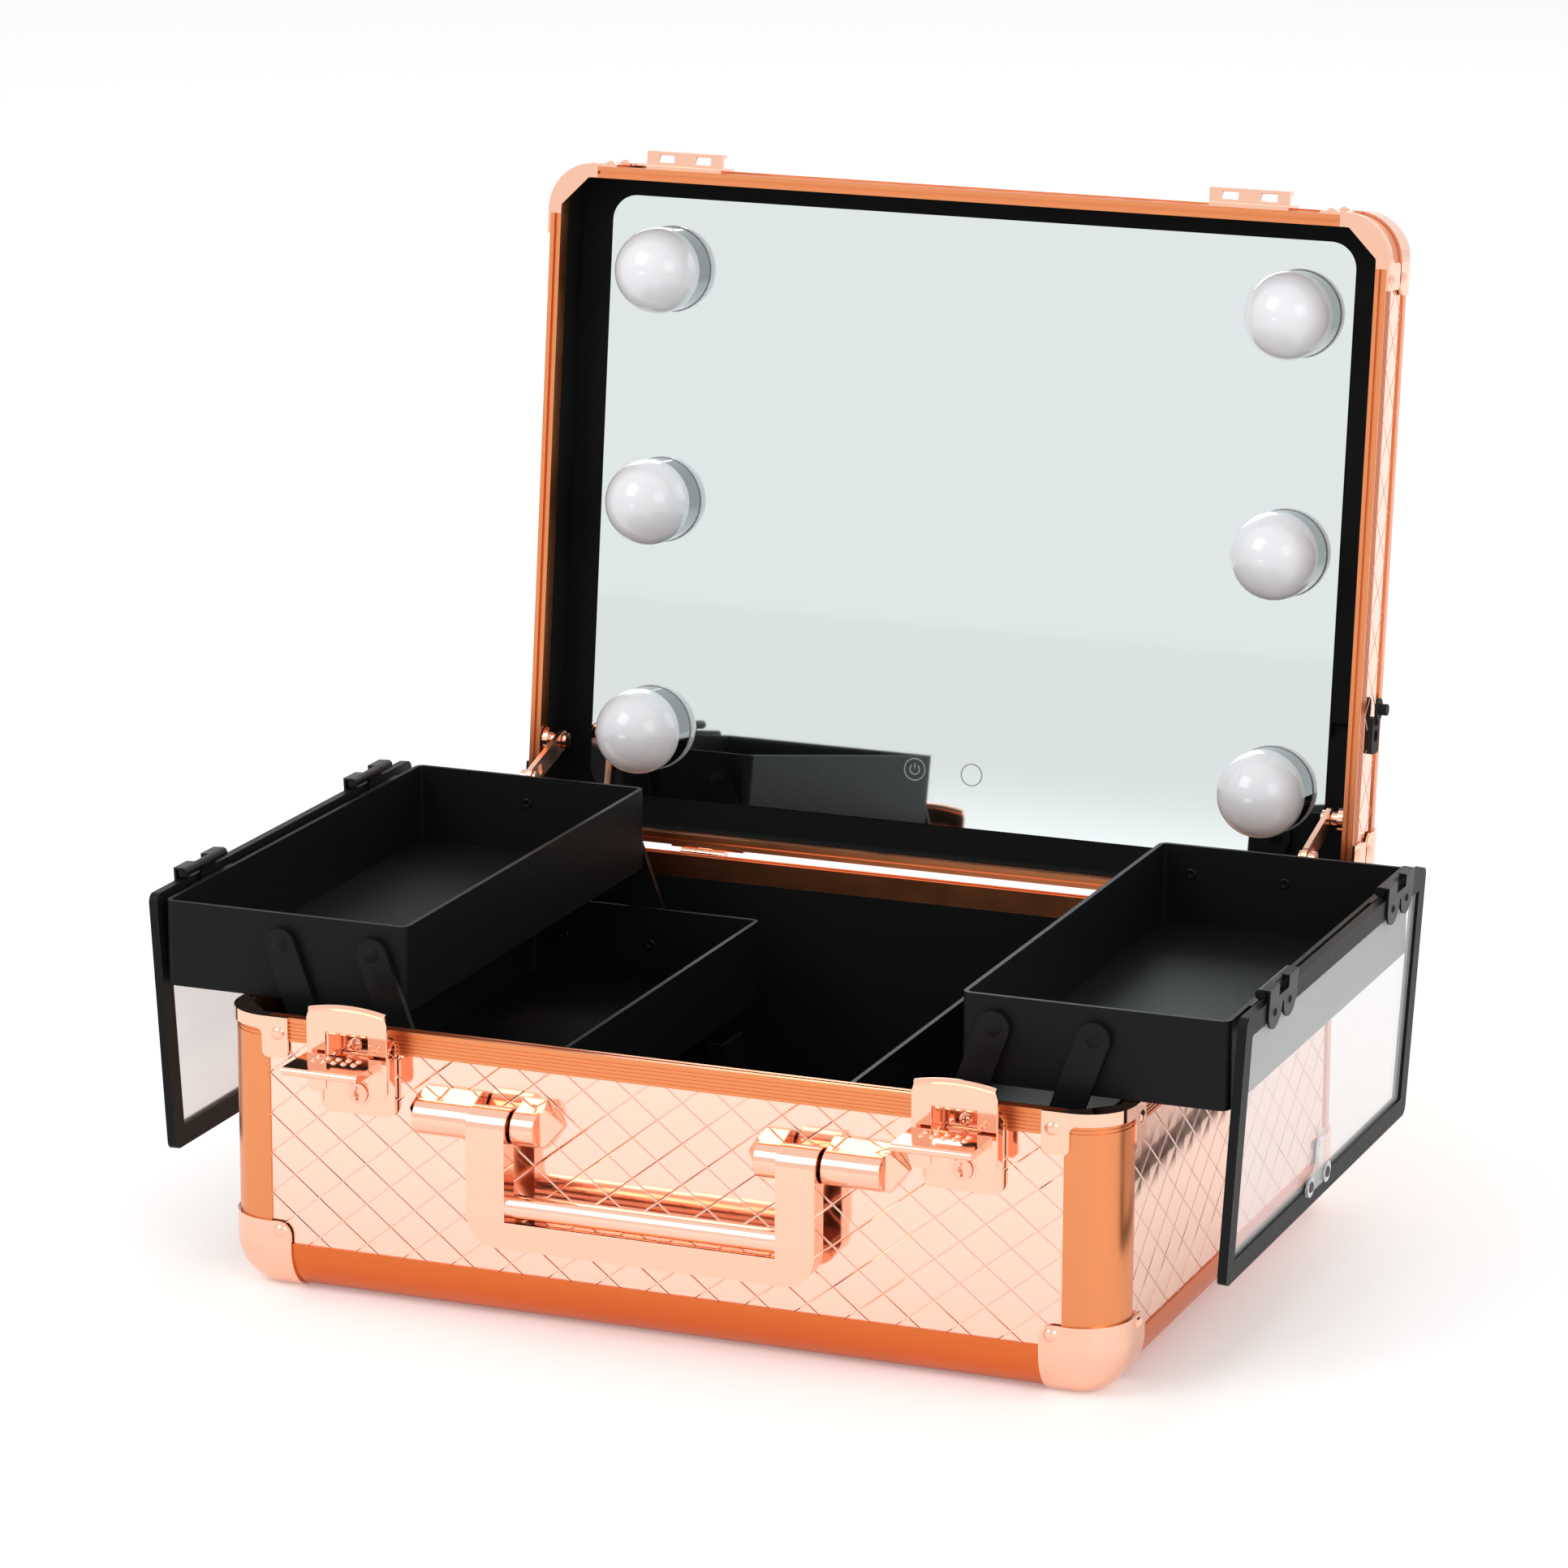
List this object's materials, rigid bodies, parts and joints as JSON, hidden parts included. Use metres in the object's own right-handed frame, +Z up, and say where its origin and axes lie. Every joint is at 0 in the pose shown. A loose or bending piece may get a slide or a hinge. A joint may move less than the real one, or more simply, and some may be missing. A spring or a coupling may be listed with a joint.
{
  "type": "makeup train case",
  "caption": "Open hard-shell makeup train case with mirror lid, bulb lights, fold-out trays on linkages, draw latches, lid stays and front carry handle.",
  "frame": {"origin": "middle of the base's footprint, at floor level", "axes": "+Z up, -Y towards the front face with the handle and latches, +X to the right seen from the front"},
  "size_m": [0.4942, 0.4391, 0.4406],
  "materials": {
    "panel": "embossed mirror-gloss pale rose gold sheet",
    "rail": "satin orange-copper anodised",
    "fitting": "polished rose gold plating",
    "grip": "polished rose gold plating",
    "lining": "matte black lining",
    "tray": "satin black",
    "window": "clear sheet",
    "mirror": "silvered glass",
    "collar": "polished chrome",
    "bulb": "opal white",
    "link": "black painted strip",
    "stay": "rose gold plated strip",
    "bracket": "dark grey",
    "lock": "dark copper plating",
    "rubber": "black rubber"
  },
  "bodies": {
    "base": {"base_wall_panels": "panel", "base_bottom_panel": "panel", "base_lining": "lining", "base_corner_posts": "rail", "base_edge_rails": "rail", "base_rim": "rail", "base_corner_brackets": "fitting", "base_corner_caps": "fitting", "base_rivets": "fitting", "handle_mounts": "fitting", "latch_plates": "fitting", "hinge_base_leaves": "fitting", "stay_guides": "bracket", "link_brackets": "bracket"},
    "lid": {"lid_back_panel": "panel", "lid_wall_panels": "panel", "lid_corner_posts": "rail", "lid_edge_rails": "rail", "lid_rim": "rail", "lid_corner_brackets": "fitting", "lid_corner_caps": "fitting", "lid_rivets": "fitting", "lid_lining": "lining", "mirror": "mirror", "bulb_collars": "collar", "bulbs": "bulb", "lid_catches": "fitting", "power_inlet": "rubber", "inlet_cap": "rubber", "hinge_lid_leaves": "fitting", "stay_brackets": "fitting"},
    "handle": {"handle_frame": "fitting", "handle_grip": "grip"},
    "latch_lever_left": {"latch_lever_left": "fitting"},
    "latch_bail_left": {"latch_bail_left": "fitting"},
    "lock_left": {"lock_barrel_left": "lock"},
    "stay_arm_left": {"stay_arm_left": "stay"},
    "stay_slide_left": {"stay_slide_left": "stay"},
    "inner_links_left": {"inner_links_left": "link"},
    "outer_links_left": {"outer_links_left": "link"},
    "upper_tray_left": {"upper_tray_left": "tray", "tray_hinge_left": "fitting"},
    "lower_tray_left": {"lower_tray_left": "tray"},
    "flap_left": {"flap_frame_left": "tray", "flap_window_left": "window", "flap_hinge_left": "fitting"},
    "latch_lever_right": {"latch_lever_right": "fitting"},
    "latch_bail_right": {"latch_bail_right": "fitting"},
    "lock_right": {"lock_barrel_right": "lock"},
    "stay_arm_right": {"stay_arm_right": "stay"},
    "stay_slide_right": {"stay_slide_right": "stay"},
    "inner_links_right": {"inner_links_right": "link"},
    "outer_links_right": {"outer_links_right": "link"},
    "upper_tray_right": {"upper_tray_right": "tray", "tray_hinge_right": "fitting"},
    "lower_tray_right": {"lower_tray_right": "tray"},
    "flap_right": {"flap_frame_right": "tray", "flap_window_right": "window", "flap_hinge_right": "fitting"}
  },
  "joints": [
    {"name": "lid", "type": "hinge", "parent": "base", "child": "lid", "pos_m": [0, 0.15797, 0.12145], "axis": [1, 0, 0], "range_deg": [0, 44.5]},
    {"name": "stay_arm_left", "type": "hinge", "parent": "lid", "child": "stay_arm_left", "pos_m": [-0.1867, 0.171, 0.1655], "axis": [1, 0, 0], "range_deg": [0, 32.24]},
    {"name": "stay_slide_left", "type": "slide", "parent": "base", "child": "stay_slide_left", "axis": [0, 0, 1], "range_m": [-0.02389, 0]},
    {"name": "stay_arm_right", "type": "hinge", "parent": "lid", "child": "stay_arm_right", "pos_m": [0.1867, 0.171, 0.1655], "axis": [1, 0, 0], "range_deg": [0, 32.24]},
    {"name": "stay_slide_right", "type": "slide", "parent": "base", "child": "stay_slide_right", "axis": [0, 0, 1], "range_m": [-0.02389, 0]},
    {"name": "tray_left", "type": "hinge", "parent": "base", "child": "inner_links_left", "pos_m": [-0.09645, 0, 0.0306], "axis": [0, 1, 0], "range_deg": [0, 58.5]},
    {"name": "outer_links_left", "type": "hinge", "parent": "base", "child": "outer_links_left", "pos_m": [-0.13945, 0, 0.0306], "axis": [0, 1, 0], "range_deg": [0, 58.6]},
    {"name": "upper_tray_left", "type": "hinge", "parent": "inner_links_left", "child": "upper_tray_left", "pos_m": [-0.139, 0, 0.1475], "axis": [0, -1, 0], "range_deg": [0, 58.6]},
    {"name": "lower_tray_left", "type": "hinge", "parent": "inner_links_left", "child": "lower_tray_left", "pos_m": [-0.11773, 0, 0.08905], "axis": [0, -1, 0], "range_deg": [0, 58.6]},
    {"name": "flap_left", "type": "hinge", "parent": "upper_tray_left", "child": "flap_left", "pos_m": [-0.2424, 0, 0.1651], "axis": [0, 1, 0], "range_deg": [0, 267.1]},
    {"name": "tray_right", "type": "hinge", "parent": "base", "child": "inner_links_right", "pos_m": [0.09645, 0, 0.0306], "axis": [0, -1, 0], "range_deg": [0, 58.5]},
    {"name": "outer_links_right", "type": "hinge", "parent": "base", "child": "outer_links_right", "pos_m": [0.13945, 0, 0.0306], "axis": [0, -1, 0], "range_deg": [0, 58.6]},
    {"name": "upper_tray_right", "type": "hinge", "parent": "inner_links_right", "child": "upper_tray_right", "pos_m": [0.139, 0, 0.1475], "axis": [0, 1, 0], "range_deg": [0, 58.6]},
    {"name": "lower_tray_right", "type": "hinge", "parent": "inner_links_right", "child": "lower_tray_right", "pos_m": [0.11773, 0, 0.08905], "axis": [0, 1, 0], "range_deg": [0, 58.6]},
    {"name": "flap_right", "type": "hinge", "parent": "upper_tray_right", "child": "flap_right", "pos_m": [0.2424, 0, 0.1651], "axis": [0, -1, 0], "range_deg": [0, 267.1]},
    {"name": "handle", "type": "hinge", "parent": "base", "child": "handle", "pos_m": [0, -0.1635, 0.09], "axis": [-1, 0, 0], "range_deg": [0, 100]},
    {"name": "latch_left", "type": "hinge", "parent": "base", "child": "latch_lever_left", "pos_m": [-0.135, -0.1595, 0.108], "axis": [1, 0, 0], "range_deg": [0, 90]},
    {"name": "latch_bail_left", "type": "hinge", "parent": "latch_lever_left", "child": "latch_bail_left", "pos_m": [-0.135, -0.1665, 0.108], "axis": [-1, 0, 0], "range_deg": [0, 90.1]},
    {"name": "lock_left", "type": "hinge", "parent": "base", "child": "lock_left", "pos_m": [-0.135, -0.157, 0.094], "axis": [0, 1, 0], "range_deg": [0, 90]},
    {"name": "latch_right", "type": "hinge", "parent": "base", "child": "latch_lever_right", "pos_m": [0.135, -0.1595, 0.108], "axis": [1, 0, 0], "range_deg": [0, 90]},
    {"name": "latch_bail_right", "type": "hinge", "parent": "latch_lever_right", "child": "latch_bail_right", "pos_m": [0.135, -0.1665, 0.108], "axis": [-1, 0, 0], "range_deg": [0, 90.1]},
    {"name": "lock_right", "type": "hinge", "parent": "base", "child": "lock_right", "pos_m": [0.135, -0.157, 0.094], "axis": [0, 1, 0], "range_deg": [0, 90]}
  ],
  "couplings": [
    {"joint": "stay_arm_left", "follows": "lid", "ratio": 0.72},
    {"joint": "stay_slide_left", "follows": "lid", "m_per_rad": -0.0305},
    {"joint": "stay_arm_right", "follows": "lid", "ratio": 0.72},
    {"joint": "stay_slide_right", "follows": "lid", "m_per_rad": -0.0305},
    {"joint": "outer_links_left", "follows": "tray_left", "ratio": 1},
    {"joint": "upper_tray_left", "follows": "tray_left", "ratio": 1},
    {"joint": "lower_tray_left", "follows": "tray_left", "ratio": 1},
    {"joint": "flap_left", "follows": "tray_left", "ratio": 4.5573},
    {"joint": "outer_links_right", "follows": "tray_right", "ratio": 1},
    {"joint": "upper_tray_right", "follows": "tray_right", "ratio": 1},
    {"joint": "lower_tray_right", "follows": "tray_right", "ratio": 1},
    {"joint": "flap_right", "follows": "tray_right", "ratio": 4.5573},
    {"joint": "latch_bail_left", "follows": "latch_left", "ratio": 1},
    {"joint": "latch_bail_right", "follows": "latch_right", "ratio": 1}
  ]
}
